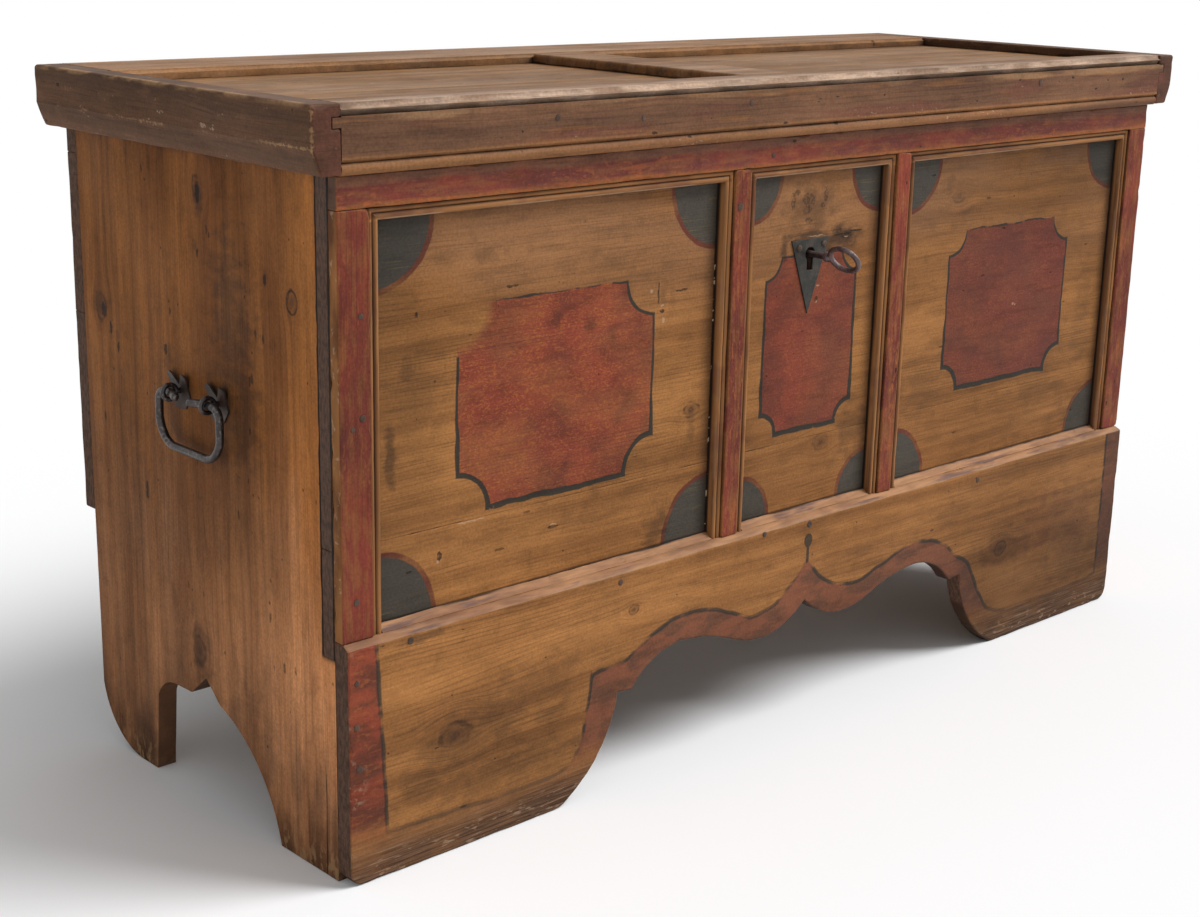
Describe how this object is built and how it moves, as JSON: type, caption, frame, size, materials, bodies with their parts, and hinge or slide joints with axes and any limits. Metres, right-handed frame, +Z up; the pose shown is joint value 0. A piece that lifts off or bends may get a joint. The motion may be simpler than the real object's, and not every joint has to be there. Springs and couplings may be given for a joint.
{
  "type": "blanket chest",
  "caption": "Painted wooden chest with a hinged lid, framed front panels, a scalloped apron on feet, side bail handles, and a lock with its key.",
  "frame": {"origin": "on the floor, at the middle of the whole width and depth", "axes": "+X to the right along the front, +Y from front to back, +Z up"},
  "size_m": [1.47, 0.5995, 0.808],
  "materials": {
    "ochre_painted_wood": "worn ochre paint on softwood",
    "red_painted_wood": "worn brick-red paint on softwood",
    "side_wood": "waxed brown softwood",
    "lid_wood": "worn brown softwood",
    "bare_wood": "bare aged softwood",
    "wrought_iron": "dark forged iron"
  },
  "bodies": {
    "carcase": {"apron_board": "ochre_painted_wood", "side_board_left": "side_wood", "side_board_right": "side_wood", "front_board_lower": "ochre_painted_wood", "front_board_upper": "ochre_painted_wood", "back_board_lower": "bare_wood", "back_board_middle": "bare_wood", "back_board_upper": "bare_wood", "floor_board_front": "bare_wood", "floor_board_middle": "bare_wood", "floor_board_rear": "bare_wood", "frame_top_rail": "red_painted_wood", "frame_stile_left": "red_painted_wood", "frame_stile_right": "red_painted_wood", "frame_muntin_left": "red_painted_wood", "frame_muntin_right": "red_painted_wood", "moulding_left_top": "ochre_painted_wood", "moulding_left_left": "ochre_painted_wood", "moulding_left_right": "ochre_painted_wood", "moulding_centre_top": "ochre_painted_wood", "moulding_centre_left": "ochre_painted_wood", "moulding_centre_right": "ochre_painted_wood", "moulding_right_top": "ochre_painted_wood", "moulding_right_left": "ochre_painted_wood", "moulding_right_right": "ochre_painted_wood", "hinge_leaf_left": "wrought_iron", "hinge_leaf_right": "wrought_iron", "hinge_pins": "wrought_iron", "escutcheon": "wrought_iron", "lock_plate": "wrought_iron", "bolt_keepers": "wrought_iron", "key_bridge": "wrought_iron", "handle_roses_left": "wrought_iron", "handle_eyes_left": "wrought_iron", "handle_roses_right": "wrought_iron", "handle_eyes_right": "wrought_iron"},
    "lid": {"lid_board_front": "lid_wood", "lid_board_middle": "lid_wood", "lid_board_rear": "lid_wood", "lid_cleat_left": "lid_wood", "lid_cleat_right": "lid_wood", "lid_fascia": "lid_wood", "lid_front_rail": "lid_wood", "lid_back_rail": "lid_wood", "lid_batten": "lid_wood", "hinge_strap_left": "wrought_iron", "hinge_strap_right": "wrought_iron", "lid_hasp": "wrought_iron"},
    "key": {"key": "wrought_iron"},
    "lock_bolt": {"lock_bolt": "wrought_iron"},
    "left_handle": {"handle_bail_left": "wrought_iron"},
    "right_handle": {"handle_bail_right": "wrought_iron"}
  },
  "joints": [
    {"name": "lid_hinge", "type": "hinge", "parent": "carcase", "child": "lid", "pos_m": [0, 0.29375, 0.7745], "axis": [-1, 0, 0], "range_deg": [0, 100]},
    {"name": "key_turn", "type": "hinge", "parent": "carcase", "child": "key", "pos_m": [0, -0.2, 0.594], "axis": [0, 1, 0], "range_deg": [0, 60]},
    {"name": "bolt_slide", "type": "slide", "parent": "carcase", "child": "lock_bolt", "axis": [1, 0, 0], "range_m": [0, 0.014]},
    {"name": "left_handle_swing", "type": "hinge", "parent": "carcase", "child": "left_handle", "pos_m": [-0.7145, 0.02025, 0.476], "axis": [0, 1, 0], "range_deg": [0, 180]},
    {"name": "right_handle_swing", "type": "hinge", "parent": "carcase", "child": "right_handle", "pos_m": [0.7145, 0.02025, 0.476], "axis": [0, -1, 0], "range_deg": [0, 180]}
  ],
  "couplings": [
    {"joint": "key_turn", "follows": "bolt_slide", "rad_per_m": 74.79}
  ]
}
